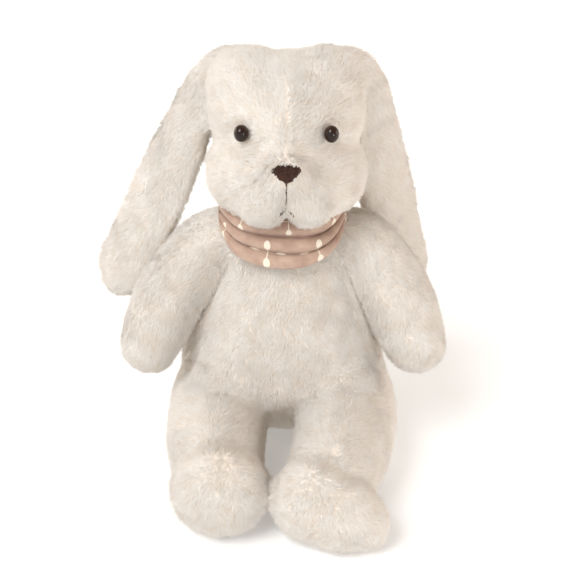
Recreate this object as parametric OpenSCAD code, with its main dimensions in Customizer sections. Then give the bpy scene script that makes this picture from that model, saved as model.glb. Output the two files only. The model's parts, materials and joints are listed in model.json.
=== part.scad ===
// Seated stuffed rabbit with long hanging ears and a neck cloth.
// It faces -Y, its own left is +X, and it sits on z = 0 with the origin under its seat.

/* [Torso] */
// Height of the torso, from the floor to the neck seam
torso_h = 180; // [176:1:186]
// Width of the torso across the hips
torso_w = 136; // [128:1:140]
// How far the belly stands in front of the neck's middle
belly_y = 50; // [46:1:54]
// How far the back stands behind the neck's middle
back_y = 59; // [54:1:64]
// Sideways lean of the seat away from the neck's middle
lean_x = 4; // [0:1:5]

/* [Head] */
// Width of the head across the cheeks
head_w = 98; // [92:1:104]
// Height of the head, from the chin to the crown
head_h = 102; // [96:1:108]
// How far the muzzle stands in front of the neck's middle
muzzle_y = 64; // [60:1:68]
// How far the back of the head stands behind the neck's middle
nape_y = 40; // [36:1:44]
// Diameter of one eye
eye_d = 11; // [9:0.5:12]
// Distance between the middles of the eyes
eye_gap = 56; // [50:1:60]
// Width of the embroidered nose
nose_w = 17; // [15:1:20]

/* [Ears] */
// Length of one ear along its middle line
ear_l = 182; // [160:1:190]
// Width of one ear at its widest
ear_w = 38; // [32:1:40]
// Thickness of one ear
ear_t = 12; // [10:1:14]
// How far an ear is turned about its own length
ear_yaw = 35; // [20:1:40]

/* [Arms] */
// Length of one arm, from the shoulder's middle to the tip of the paw
arm_l = 106; // [98:1:112]
// Radius of the upper arm
arm_r = 21; // [19:0.5:21.5]
// Radius of one paw
paw_r = 20; // [18:0.5:21.5]

/* [Legs] */
// Length of the shorter leg, from the hip's middle to the sole
leg_l = 126; // [118:1:130]
// Extra reach of the left leg, which is pulled a little further forward
leg_reach = 9; // [0:1:12]
// Radius of one thigh
thigh_r = 29; // [26:0.5:29.5]
// Distance between the middles of the hips
hip_gap = 81; // [79:1:84]

/* [Fabric] */
// Thickness of the fur fabric with its backing
fabric_t = 3; // [2:0.5:3.5]
// Clear space between a panel and the stuffing behind it
stuffing_gap = 1.2; // [1:0.1:2]
// Thickness of the folded neck cloth
cloth_t = 3; // [2:0.5:4]

/* [Hidden] */

LEFT = 1;
RIGHT = -1;
FUR = "#F1ECE4";
LINING = "#E8C9B2";
FILLING = "#FBFBF8";
CLOTH = "#A98370";
DARK = "#3A241C";

// Flat seams: the part of one facet that is left open on each side of a seam
seam = 0.04;
// Facets around the torso and head, around a limb, and around a filling
round_sides = 24;
limb_sides = 16;
core_sides = 12;

// Every y below is measured from the neck's middle, and the origin is this far behind it
seat_y = 22;

// Heights and joints that other pieces are placed by
neck_gap = 2;
head_z = torso_h + neck_gap;
crown_z = head_z + head_h;
hip_y = -25;
hip_z = 36;
sole_z = 29;
shoulder_x = 53;
shoulder_y = -10;
shoulder_z = 158;
shoulder_r = 17;
ear_root_x = 40;
ear_root_y = 6;
ear_root_z = crown_z - 8;

// ---- Forms: a form is a list of rings, and every ring has the same number of points ----

// A number raised to a power with its sign kept, for a rounded-square outline
function spow(v, p) = sign(v) * pow(abs(v), p);

// A smooth curve from b to c, with a and d as the values before and after them
function between(a, b, c, d, f) =
    b + 0.5 * f * ((c - a) + f * ((2 * a - 5 * b + 4 * c - d) + f * (3 * (b - c) + d - a)));

// One row of a table of rows at height z. A row is
// [z, middle x, half width, low y, high y, turn about z].
function row_at(rows, z) =
    let (last = len(rows) - 1)
    let (i = max([for (k = [0:last - 1]) if (k == 0 || rows[k][0] <= z) k]))
    let (f = (z - rows[i][0]) / (rows[i + 1][0] - rows[i][0]))
    between(rows[max(i - 1, 0)], rows[i], rows[i + 1], rows[min(i + 2, last)], f);

// The part of its full size that a form has at z. An end is [rounding length, size at the tip].
function end_size(z, z0, z1, low, high) =
    z < z0 + low[0] ? low[1] + (1 - low[1]) * sqrt(1 - pow(1 - (z - z0) / low[0], 2)) :
    z > z1 - high[0] ? high[1] + (1 - high[1]) * sqrt(1 - pow(1 - (z1 - z) / high[0], 2)) : 1;

// The heights of a form's rings: close together at both ends, even between them
function levels(z0, z1, low, high, ends, middles) = concat(
    [for (i = [0:ends - 1]) z0 + low[0] * (1 - cos(90 * i / ends))],
    [for (i = [0:middles]) z0 + low[0] + (z1 - high[0] - z0 - low[0]) * i / middles],
    [for (i = [ends - 1:-1:0]) z1 - high[0] * (1 - cos(90 * i / ends))]);

// One ring: a superellipse of the row's size, turned about z
function ring(row, z, size, sides, square) =
    let (mid = (row[3] + row[4]) / 2, half = (row[4] - row[3]) / 2)
    [for (j = [0:sides - 1])
        let (a = 360 * j / sides)
        let (x = row[2] * size * spow(cos(a), 2 / square))
        let (y = mid + half * size * spow(sin(a), 2 / square))
        [row[1] + x * cos(row[5]) - y * sin(row[5]), x * sin(row[5]) + y * cos(row[5]), z]];

// A whole form from its table of rows
function form(rows, low, high, sides, middles, square) =
    let (z0 = rows[0][0], z1 = rows[len(rows) - 1][0])
    [for (z = levels(z0, z1, low, high, 3, middles))
        ring(row_at(rows, z), z, end_size(z, z0, z1, low, high), sides, square)];

function middle(points) = [for (p = points) 1] * points / len(points);
function unit(v) = v / norm(v);

// The form's surface moved inwards by t
function inset(rings, t) =
    let (last = len(rings) - 1, sides = len(rings[0]))
    let (up = unit(middle(rings[1]) - middle(rings[0])))
    let (down = unit(middle(rings[last - 1]) - middle(rings[last])))
    [for (i = [0:last]) [for (j = [0:sides - 1])
        let (around = rings[i][(j + 1) % sides] - rings[i][(j + sides - 1) % sides])
        let (along = rings[min(i + 1, last)][j] - rings[max(i - 1, 0)][j])
        let (out = unit(cross(around, along)))
        rings[i][j] - t * out + (i == 0 ? t * up : i == last ? t * down : [0, 0, 0])]];

// A closed solid that fills a form
module solid(rings) {
    sides = len(rings[0]);
    last = len(rings) - 1;
    points = concat([for (r = rings) each r], [middle(rings[0]), middle(rings[last])]);
    low = len(points) - 2;
    walls = [for (i = [0:last - 1], j = [0:sides - 1])
        let (k = (j + 1) % sides)
        each [[i * sides + j, (i + 1) * sides + j, i * sides + k],
              [i * sides + k, (i + 1) * sides + j, (i + 1) * sides + k]]];
    ends = [for (j = [0:sides - 1])
        let (k = (j + 1) % sides)
        each [[low, j, k], [low + 1, last * sides + k, last * sides + j]]];
    polyhedron(points, concat(walls, ends));
}

// The points of a ring from side a to side b, drawn in a little at both seams
function arc_of(points, a, b) =
    let (n = len(points))
    [for (j = [a:b])
        let (p = points[j % n])
        j == a ? p + seam * (points[(j + 1) % n] - p) :
        j == b ? p + seam * (points[(j + n - 1) % n] - p) : p];

// A sewn panel of a form: the fabric from side a to side b
module panel(rings, a, b) {
    panel_between(rings, inset(rings, fabric_t), a, b);
}

// A panel from side a to side b, with the outer rings and the inner rings of its fabric
module panel_between(outer, inner, a, b) {
    sheets = [for (s = [outer, inner])
        let (arcs = [for (r = s) arc_of(r, a, b)])
        let (first = middle(s[0]), final = middle(s[len(s) - 1]))
        [arcs,
         first + seam * (middle(arcs[0]) - first),
         final + seam * (middle(arcs[len(arcs) - 1]) - final)]];
    n = b - a + 1;
    rows = len(outer);
    sheet_size = n * rows + 2;
    points = [for (s = sheets) each concat([for (r = s[0]) each r], [s[1], s[2]])];
    low = n * rows;
    outer_faces = concat(
        [for (i = [0:rows - 2], j = [0:n - 2])
            each [[i * n + j, (i + 1) * n + j, i * n + j + 1],
                  [i * n + j + 1, (i + 1) * n + j, (i + 1) * n + j + 1]]],
        [for (j = [0:n - 2])
            each [[low, j, j + 1], [low + 1, (rows - 1) * n + j + 1, (rows - 1) * n + j]]]);
    inner_faces = [for (f = outer_faces) [for (k = [2, 1, 0]) f[k] + sheet_size]];
    rim = concat([low], [for (i = [0:rows - 1]) i * n], [low + 1],
        [for (i = [rows - 1:-1:0]) i * n + n - 1]);
    edges = [for (k = [0:len(rim) - 1])
        let (p = rim[k], q = rim[(k + 1) % len(rim)])
        each [[p, p + sheet_size, q], [q, p + sheet_size, q + sheet_size]]];
    polyhedron(points, concat(outer_faces, inner_faces, edges));
}

// A child on the left side, or mirrored to the right side
module on(side) {
    if (side == LEFT) children();
    else mirror([1, 0, 0]) children();
}

// ---- Torso ----

// The torso is narrow at the neck and broad at the hips. Its front is drawn in below the
// belly, where the two thighs lie.
function torso_rows() =
    let (w = torso_w / 2, h = torso_h)
    [[0, -lean_x, 0.93 * w, 8, 0.94 * back_y, 0],
     [0.11 * h, -lean_x, 0.97 * w, 8, back_y, 0],
     [0.25 * h, -lean_x, w, 7, back_y, 0],
     [0.345 * h, -lean_x, w, 0, 0.98 * back_y, 0],
     [0.41 * h, -0.9 * lean_x, 0.98 * w, -0.62 * belly_y, 0.95 * back_y, 0],
     [0.50 * h, -0.8 * lean_x, 0.91 * w, -0.92 * belly_y, 0.89 * back_y, 0],
     [0.62 * h, -0.6 * lean_x, 0.78 * w, -belly_y, 0.8 * back_y, 0],
     [0.75 * h, -0.4 * lean_x, 0.62 * w, -0.9 * belly_y, 0.7 * back_y, 0],
     [0.87 * h, -0.2 * lean_x, 0.48 * w, -0.72 * belly_y, 0.57 * back_y, 0],
     [h, 0, 0.45 * w, -0.62 * belly_y, 0.5 * back_y, 0]];

torso_low = [12, 0.78];
torso_high = [8, 0.7];
torso_form = form(torso_rows(), torso_low, torso_high, round_sides, 9, 2.2);
torso_core = form(torso_rows(), torso_low, torso_high, core_sides, 9, 2.2);
core_inset = fabric_t + stuffing_gap;
// Rings of the torso's filling up to this one are the pellet bag
bag_rings = 4;

module torso_front_panel() {
    color(FUR) panel(torso_form, round_sides / 2, round_sides);
}

module torso_back_left_panel() {
    color(FUR) panel(torso_form, 0, round_sides / 4);
}

module torso_back_right_panel() {
    color(FUR) panel(torso_form, round_sides / 4, round_sides / 2);
}

// Loose filling of the torso, above the pellet bag
module torso_stuffing() {
    rings = inset(torso_core, core_inset);
    color(FILLING) solid([for (i = [bag_rings:len(rings) - 1]) rings[i]]);
}

// Bag of pellets that keeps the toy sitting
module seat_pellet_bag() {
    rings = inset(torso_core, core_inset + 2 * stuffing_gap);
    top = middle(rings[bag_rings]) - [0, 0, stuffing_gap];
    color(FILLING) solid(concat([for (i = [0:bag_rings - 1]) rings[i]],
        [[for (p = rings[bag_rings - 1]) [p[0], p[1], top[2]]]]));
}

tail_r = 17;
tail_z = 34;
tail_pos = [-lean_x, back_y + tail_r - 1, tail_z];

// Round tail cover, gathered where it is sewn to the torso
module tail_cover() {
    color(FUR) translate(tail_pos) rotate([-90, 0, 0]) difference() {
        sphere(tail_r, $fn = 48);
        sphere(tail_r - fabric_t, $fn = 48);
        translate([0, 0, -tail_r]) cylinder(r = 0.5 * tail_r, h = tail_r, $fn = 48);
    }
}

module tail_stuffing() {
    color(FILLING) translate(tail_pos) sphere(tail_r - fabric_t - stuffing_gap, $fn = 48);
}

// ---- Neck cloth ----

band_sides = 32;
band_h = 10;
drop_h = 13;
band_gap = 1;

// One outline of the cloth round the neck: z rises from the front to the back
function neck_ring(grow, z_front, z_back) = [for (j = [0:band_sides - 1])
    let (a = 360 * j / band_sides, front = pow(max(0, -sin(a)), 1.5))
    let (z = z_back + (z_front - z_back) * front)
    let (row = row_at(torso_rows(), z))
    let (x = row[1] + (row[2] + grow) * spow(cos(a), 2 / 2.2))
    let (mid = (row[3] + row[4]) / 2, half = (row[4] - row[3]) / 2)
    [x, mid + (half + grow) * spow(sin(a), 2 / 2.2), z]];

// Folded cloth round the neck, with a deeper fold hanging at the front
module bandana() {
    top = torso_h - 0.5;
    low = top - band_h - drop_h;
    color(CLOTH) solid_ring([
        neck_ring(band_gap, low, top - band_h),
        neck_ring(band_gap + cloth_t, low, top - band_h),
        neck_ring(band_gap + 1.6 * cloth_t, low + 6, top - band_h + 3),
        neck_ring(band_gap + 1.8 * cloth_t, top - 6, top - 3),
        neck_ring(band_gap + cloth_t, top, top),
        neck_ring(band_gap, top, top)]);
}

// A closed band whose cross-section is the given list of outlines
module solid_ring(outlines) {
    n = len(outlines);
    m = len(outlines[0]);
    polyhedron([for (o = outlines) each o], [for (i = [0:n - 1], j = [0:m - 1])
        let (u = (i + 1) % n, v = (j + 1) % m)
        each [[i * m + j, i * m + v, u * m + j], [u * m + j, i * m + v, u * m + v]]]);
}

knot_r = 7;
knot_z = torso_h - 0.5 * band_h;

knot_tail_l = 26;
knot_tail_w = 9;
knot_spread = 55;

// Knot at the nape with its two short ends
module bandana_knot() {
    y = row_at(torso_rows(), knot_z)[4] + band_gap + 1.8 * cloth_t + knot_r - 0.5;
    color(CLOTH) translate([0, y, knot_z]) {
        sphere(knot_r, $fn = 12);
        for (side = [LEFT, RIGHT]) {
            rotate([0, side * knot_spread, 0]) translate([0, 0, -knot_tail_l / 2])
                cube([cloth_t, knot_tail_w, knot_tail_l], center = true);
        }
    }
}

// ---- Head ----

function head_rows() =
    let (w = head_w / 2, h = head_h, m = muzzle_y, b = nape_y)
    [[head_z, 0, 0.97 * w, -0.86 * m, 0.85 * b, 0],
     [head_z + 0.14 * h, 0, 0.99 * w, -0.98 * m, 0.94 * b, 0],
     [head_z + 0.30 * h, 0, w, -m, b, 0],
     [head_z + 0.45 * h, 0, 0.98 * w, -0.96 * m, b, 0],
     [head_z + 0.62 * h, 0, 0.95 * w, -0.86 * m, 0.99 * b, 0],
     [head_z + 0.80 * h, 0, 0.91 * w, -0.78 * m, 0.97 * b, 0],
     [crown_z, 0, 0.82 * w, -0.66 * m, 0.92 * b, 0]];

head_low = [20, 0.66];
head_high = [38, 0.22];
head_square = 2.3;
head_form = form(head_rows(), head_low, head_high, round_sides, 6, head_square);
head_core = form(head_rows(), head_low, head_high, core_sides, 6, head_square);

// The y of the head's front surface at a given x and z
function face_y(x, z) =
    let (row = row_at(head_rows(), z), size = end_size(z, head_z, crown_z, head_low, head_high))
    let (mid = (row[3] + row[4]) / 2, half = (row[4] - row[3]) / 2)
    mid - half * size * pow(1 - pow(abs(x) / (row[2] * size), head_square), 1 / head_square);

module face_left_panel() {
    color(FUR) panel(head_form, 3 * round_sides / 4, round_sides);
}

module face_right_panel() {
    color(FUR) panel(head_form, round_sides / 2, 3 * round_sides / 4);
}

module head_back_left_panel() {
    color(FUR) panel(head_form, 0, round_sides / 4);
}

module head_back_right_panel() {
    color(FUR) panel(head_form, round_sides / 4, round_sides / 2);
}

module head_stuffing() {
    color(FILLING) solid(inset(head_core, core_inset));
}

eye_z = head_z + 0.6 * head_h;
// How much of the eye's radius stands out of the fabric
eye_out = 0.5;
shank_r = 1.6;
shank_l = 13;
washer_r = 6;
washer_h = 1.6;

// A child at one eye, with its +Z pointing out of the face
module at_eye(side) {
    x = side * eye_gap / 2 - 1;
    step = 1;
    slope = (face_y(x + step, eye_z) - face_y(x - step, eye_z)) / (2 * step);
    translate([x, face_y(x, eye_z), eye_z]) rotate([90, 0, atan(slope)]) children();
}

// Eye bead with the shank that goes through the fabric
module eye(side) {
    color(DARK) at_eye(side) {
        translate([0, 0, (eye_out - 0.5) * eye_d]) sphere(eye_d / 2, $fn = 48);
        translate([0, 0, -shank_l]) cylinder(r = shank_r, h = shank_l, $fn = 32);
    }
}

// Locking washer pressed onto the shank behind the fabric
module eye_washer(side) {
    color(FILLING) at_eye(side) translate([0, 0, -shank_l + 2]) difference() {
        cylinder(r = washer_r, h = washer_h, $fn = 32);
        translate([0, 0, -1]) cylinder(r = shank_r, h = washer_h + 2, $fn = 32);
    }
}

nose_z = head_z + 0.41 * head_h;
nose_h = 0.7 * nose_w;
nose_t = 5;

// Embroidered nose: a rounded triangle with its point down
module nose() {
    corner_r = 2.5;
    x = nose_w / 2 - corner_r;
    tops = [[-x, nose_h / 2 - corner_r], [x, nose_h / 2 - corner_r]];
    color(DARK) translate([-1, face_y(0, nose_z) - 2, nose_z]) rotate([90, 0, 0])
        translate([0, 0, -nose_t / 2]) linear_extrude(nose_t) hull() {
            for (p = tops) translate(p) circle(corner_r, $fn = 24);
            translate([0, corner_r - nose_h / 2]) circle(corner_r, $fn = 24);
        }
}

thread_r = 0.8;
mouth_z = nose_z - 24;
mouth_w = 9;
mouth_drop = 5;

// A straight thread from p to q
module thread(p, q) {
    v = q - p;
    translate(p) rotate([0, acos(v[2] / norm(v)), atan2(v[1], v[0])])
        cylinder(r = thread_r, h = norm(v), $fn = 8);
}

// Stitched line under the nose, and the two short lines that spread below it
module mouth_stitch() {
    function on_face(x, z) = [x - 1, face_y(x, z) - 0.4, z];
    fork = on_face(0, mouth_z);
    color(DARK) {
        thread(on_face(0, nose_z - nose_h / 2 - 1), fork);
        for (side = [LEFT, RIGHT]) thread(fork, on_face(side * mouth_w / 2, mouth_z - mouth_drop));
    }
}

// ---- Ears ----

// [angle of the hanging ear from straight down, y of its tip] for each side
function ear_hang(side) = side == LEFT ? [12, 34] : [25, 4];
ear_start = 78;
ear_bend = 14;
ear_rings = 13;
ear_fabric_t = 1.6;
padding_gap = 0.5;

// Direction of the ear at s along it: outwards at the root, then down
function ear_angle(side, s) =
    ear_hang(side)[0] + (ear_start - ear_hang(side)[0]) * exp(-s / ear_bend);

// Middle of the ear at s, from the sum of short steps
function ear_middle(side, s) =
    let (steps = 40, ds = s / steps)
    let (sum = [for (k = [0:steps - 1])
        let (a = ear_angle(side, (k + 0.5) * ds))
        [sin(a) * ds, 0, -cos(a) * ds]])
    [ear_root_x, ear_root_y + (ear_hang(side)[1] - ear_root_y) * s / ear_l, ear_root_z]
    + [for (p = sum) 1] * sum;

// Half width at fraction u of the ear: slim at the root, broad near the tip
function ear_half_width(u) = ear_w / 2 * (0.5 + 0.5 * pow(sin(90 * min(1, u / 0.6)), 2))
    * end_size(u, 0, 1, [0.05, 0.8], [0.13, 0.35]);

// Half thickness at fraction u of the ear
function ear_half_depth(u) = ear_t / 2 * end_size(u, 0, 1, [0.05, 0.75], [0.13, 0.65]);

// Rings of one ear, square to its middle line, turned by ear_yaw and smaller by `cut` all round
function ear_form(side, sides, cut = 0) = [
    for (i = [0:ear_rings])
        let (u = (1 - cos(180 * i / ear_rings)) / 2, s = cut + u * (ear_l - 2 * cut))
        let (a = ear_angle(side, s), c = ear_middle(side, s))
        let (yaw = ear_yaw * min(1, s / (3 * ear_bend)))
        [for (j = [0:sides - 1])
            let (t = -360 * j / sides)
            let (x = (ear_half_width(u) - cut) * spow(cos(t), 2 / 2.4))
            let (y = (ear_half_depth(u) - cut) * spow(sin(t), 2 / 2.4))
            let (xr = x * cos(yaw) - y * sin(yaw), yr = x * sin(yaw) + y * cos(yaw))
            c + [xr * cos(a), yr, xr * sin(a)]]];

// The fabric of one ear, from side a to side b
module ear_panel(side, a, b) {
    on(side) panel_between(ear_form(side, limb_sides),
        ear_form(side, limb_sides, ear_fabric_t), a, b);
}

module ear_outer(side) {
    color(FUR) ear_panel(side, 0, limb_sides / 2);
}

module ear_lining(side) {
    color(LINING) ear_panel(side, limb_sides / 2, limb_sides);
}

// Thin wadding between the ear's two fabrics
module ear_padding(side) {
    color(FILLING) on(side) solid(ear_form(side, core_sides, ear_fabric_t + padding_gap));
}

// ---- Arms ----

// [angle out from straight down, angle forward] for each side
function arm_hang(side) = side == LEFT ? [24, 20] : [28, 20];

arm_rows = [
    [-shoulder_r, 0, shoulder_r, -shoulder_r, shoulder_r, 0],
    [0, 0, shoulder_r, -shoulder_r, shoulder_r, 0],
    [0.3 * arm_l, 0, 0.97 * arm_r, -0.97 * arm_r, 0.97 * arm_r, 0],
    [0.6 * arm_l, 0, arm_r, -arm_r, arm_r, 0],
    [arm_l, 0, paw_r, -paw_r, paw_r, 0]];
arm_low = [shoulder_r, 0.15];
arm_high = [0.9 * paw_r, 0.15];
arm_form = form(arm_rows, arm_low, arm_high, limb_sides, 4, 2.1);
arm_core = form(arm_rows, arm_low, arm_high, core_sides, 4, 2.1);

// A child whose +Z runs along the arm, from the shoulder's middle
module at_arm(side) {
    on(side) translate([shoulder_x, shoulder_y, shoulder_z])
        rotate([-arm_hang(side)[1], 0, 0]) rotate([0, 180 - arm_hang(side)[0], 0]) children();
}

module arm_front_panel(side) {
    color(FUR) at_arm(side) panel(arm_form, limb_sides / 2, limb_sides);
}

module arm_back_panel(side) {
    color(FUR) at_arm(side) panel(arm_form, 0, limb_sides / 2);
}

module arm_stuffing(side) {
    color(FILLING) at_arm(side) solid(inset(arm_core, core_inset));
}

// ---- Legs ----

// [roll of the foot outwards, angle of the leg outwards] for each side
function leg_lie(side) = side == LEFT ? [62, -5] : [22, 1];
function leg_length(side) = leg_l + (side == LEFT ? leg_reach : 0);

// Local +Z runs from the hip to the sole, and +Y is up
function leg_rows(side) =
    let (l = leg_length(side), r = thigh_r, roll = leg_lie(side)[0])
    [[-r, 0, r, -r, r, 0],
     [0, 0, r, -r, r, 0],
     [0.32 * l, 0, 0.94 * r, -0.95 * r, 0.9 * r, 0],
     [0.55 * l, 0, 0.88 * r, -0.9 * r, 0.8 * r, 0.4 * roll],
     [0.78 * l, 0, 0.95 * r, -0.97 * r, 1.12 * r, roll],
     [l, 0, 0.95 * r, -0.97 * r, 1.18 * r, roll]];

leg_low = [thigh_r, 0.15];
leg_high = [0.8 * thigh_r, 0.2];

function leg_form(side, sides) = form(leg_rows(side), leg_low, leg_high, sides, 7, 2.1);

// A child whose +Z runs along the leg, from the hip's middle
module at_leg(side) {
    fall = asin((hip_z - sole_z) / leg_length(side));
    on(side) translate([hip_gap / 2 - side * lean_x, hip_y, hip_z])
        rotate([0, 0, leg_lie(side)[1]]) rotate([90 + fall, 0, 0]) mirror([1, 0, 0]) children();
}

// The panel on the outer side of the leg
module leg_outer_panel(side) {
    color(FUR) at_leg(side)
        panel(leg_form(side, limb_sides), limb_sides / 4, 3 * limb_sides / 4);
}

// The panel on the side towards the other leg
module leg_inner_panel(side) {
    color(FUR) at_leg(side)
        panel(leg_form(side, limb_sides), 3 * limb_sides / 4, 5 * limb_sides / 4);
}

module leg_stuffing(side) {
    color(FILLING) at_leg(side) solid(inset(leg_form(side, core_sides), core_inset));
}

// ---- Output ----

// A child with its y measured from the origin under the seat
module placed() {
    translate([0, -seat_y, 0]) children();
}

placed() torso_front_panel();
placed() torso_back_left_panel();
placed() torso_back_right_panel();
placed() torso_stuffing();
placed() seat_pellet_bag();
placed() tail_cover();
placed() tail_stuffing();
placed() bandana();
placed() bandana_knot();
placed() face_left_panel();
placed() face_right_panel();
placed() head_back_left_panel();
placed() head_back_right_panel();
placed() head_stuffing();
placed() eye(LEFT);  // eye_left
placed() eye(RIGHT);  // eye_right
placed() eye_washer(LEFT);  // eye_washer_left
placed() eye_washer(RIGHT);  // eye_washer_right
placed() nose();
placed() mouth_stitch();
placed() ear_outer(LEFT);  // ear_left_outer
placed() ear_lining(LEFT);  // ear_left_lining
placed() ear_padding(LEFT);  // ear_left_padding
placed() ear_outer(RIGHT);  // ear_right_outer
placed() ear_lining(RIGHT);  // ear_right_lining
placed() ear_padding(RIGHT);  // ear_right_padding
placed() arm_front_panel(LEFT);  // arm_left_front_panel
placed() arm_back_panel(LEFT);  // arm_left_back_panel
placed() arm_stuffing(LEFT);  // arm_left_stuffing
placed() arm_front_panel(RIGHT);  // arm_right_front_panel
placed() arm_back_panel(RIGHT);  // arm_right_back_panel
placed() arm_stuffing(RIGHT);  // arm_right_stuffing
placed() leg_outer_panel(LEFT);  // leg_left_outer_panel
placed() leg_inner_panel(LEFT);  // leg_left_inner_panel
placed() leg_stuffing(LEFT);  // leg_left_stuffing
placed() leg_outer_panel(RIGHT);  // leg_right_outer_panel
placed() leg_inner_panel(RIGHT);  // leg_right_inner_panel
placed() leg_stuffing(RIGHT);  // leg_right_stuffing
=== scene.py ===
"""Looks of a seated plush rabbit: stuffed forms, fur, a folded neck cloth and the face.

Sizes in this file are in millimetres until they reach a mesh; the mesh is in metres.
The toy faces -Y. LEFT is its own left, which is +X.
"""
import json
import math

import bmesh
import bpy
import numpy as np
from mathutils import Matrix, Vector
from mathutils.bvhtree import BVHTree
from mathutils.kdtree import KDTree


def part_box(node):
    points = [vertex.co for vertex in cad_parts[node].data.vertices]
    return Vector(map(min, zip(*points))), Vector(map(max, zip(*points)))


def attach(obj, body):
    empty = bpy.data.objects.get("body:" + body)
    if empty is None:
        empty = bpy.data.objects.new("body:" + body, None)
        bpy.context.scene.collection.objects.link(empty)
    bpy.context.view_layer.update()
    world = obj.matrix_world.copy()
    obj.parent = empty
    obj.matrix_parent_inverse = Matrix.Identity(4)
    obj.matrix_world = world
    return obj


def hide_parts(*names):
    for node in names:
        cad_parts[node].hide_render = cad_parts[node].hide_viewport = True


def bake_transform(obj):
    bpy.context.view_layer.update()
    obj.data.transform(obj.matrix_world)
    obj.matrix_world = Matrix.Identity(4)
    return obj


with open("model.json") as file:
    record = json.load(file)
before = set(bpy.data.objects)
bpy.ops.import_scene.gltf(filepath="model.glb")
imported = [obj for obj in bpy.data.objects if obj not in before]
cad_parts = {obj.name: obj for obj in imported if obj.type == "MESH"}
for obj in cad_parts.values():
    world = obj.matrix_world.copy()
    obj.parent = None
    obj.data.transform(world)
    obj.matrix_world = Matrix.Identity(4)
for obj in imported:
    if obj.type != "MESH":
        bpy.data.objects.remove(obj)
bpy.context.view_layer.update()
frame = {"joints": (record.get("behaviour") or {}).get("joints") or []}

MM = 0.001
LEFT, RIGHT = 1, -1
CLOTH_THICK = 0.7
SIDE_NAME = {LEFT: "left", RIGHT: "right"}


def joint_place(name):
    """The point that a CAD joint turns about, in the frame's metres."""
    return np.array(next(j for j in frame["joints"] if j["name"] == name)["pos_m"])


# Places below are in millimetres from the floor under the neck's middle, 2 mm in front of the
# neck's joint. START is that point in the frame.
START = np.array([0, joint_place("neck_turn")[1] / MM + 2, 0])
TO_METRES = Matrix.Scale(MM, 4) @ Matrix.Translation(Vector(START))


def metres(place):
    """A place, or an array of places, in the frame's metres."""
    return (np.asarray(place, float) + START) * MM


def millimetres(place):
    """Places in millimetres from the start, from the frame's metres."""
    return np.asarray(place, float) / MM - START


def box_mm(*nodes):
    """The lowest and highest corners of some CAD nodes together, in millimetres."""
    corners = [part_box(n) for n in nodes]
    low = np.min([np.array(c[0]) for c in corners], axis=0)
    high = np.max([np.array(c[1]) for c in corners], axis=0)
    return millimetres(low), millimetres(high)


def joint_mm(name):
    """The point that a CAD joint turns about, in millimetres."""
    return millimetres(joint_place(name))


def bend(piece):
    """Bakes a piece's object transform into its mesh."""
    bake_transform(piece)


def add_object(name, data):
    """A new object in the scene."""
    obj = bpy.data.objects.new(name, data)
    bpy.context.scene.collection.objects.link(obj)
    return obj


# ---- Camera, light and floor ----

CAMERA_DISTANCE = 900
CAMERA_HEIGHT_DEG = 25
CAMERA_TARGET = (0, -30, 130)
CAMERA_LENS = 84.4
LIGHT_BOUNCES = 12
FLOOR_HALF = 4
LIGHT_TARGET = Vector((0, -0.02, 0.14))
# The studio's own light: (height of the direction, colour), brightest at the walls
WORLD_TONES = [(0.27, (1.0, 1.0, 1.0)), (0.42, (0.47, 0.42, 0.37)), (0.9, (0.34, 0.305, 0.27))]


def add_camera():
    up = math.radians(CAMERA_HEIGHT_DEG)
    target = Vector(metres(CAMERA_TARGET))
    data = bpy.data.cameras.new("camera")
    data.lens = CAMERA_LENS
    camera = add_object("camera", data)
    camera.location = target + Vector((0, -math.cos(up), math.sin(up))) * CAMERA_DISTANCE * MM
    camera.rotation_euler = (target - camera.location).to_track_quat("-Z", "Y").to_euler()
    bpy.context.scene.camera = camera


def add_light(name, kind, place, strength, colour):
    """A lamp at a place in metres that shines on the toy, with its data."""
    data = bpy.data.lights.new(name, kind)
    data.energy = strength
    data.color = colour
    lamp = add_object(name, data)
    lamp.location = place
    lamp.rotation_euler = (LIGHT_TARGET - Vector(place)).to_track_quat("-Z", "Y").to_euler()
    return lamp, data


def add_disk(name, place, size, watts, colour):
    _, data = add_light(name, "AREA", place, watts, colour)
    data.shape = "DISK"
    data.size = size


def add_sun(way, strength, spread, colour):
    """An even light that comes from the direction `way`, spread over some degrees."""
    lamp, data = add_light("key", "SUN", (0, 0, 0), strength, colour)
    lamp.rotation_euler = Vector(way).to_track_quat("Z", "Y").to_euler()
    data.angle = math.radians(spread)


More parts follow.
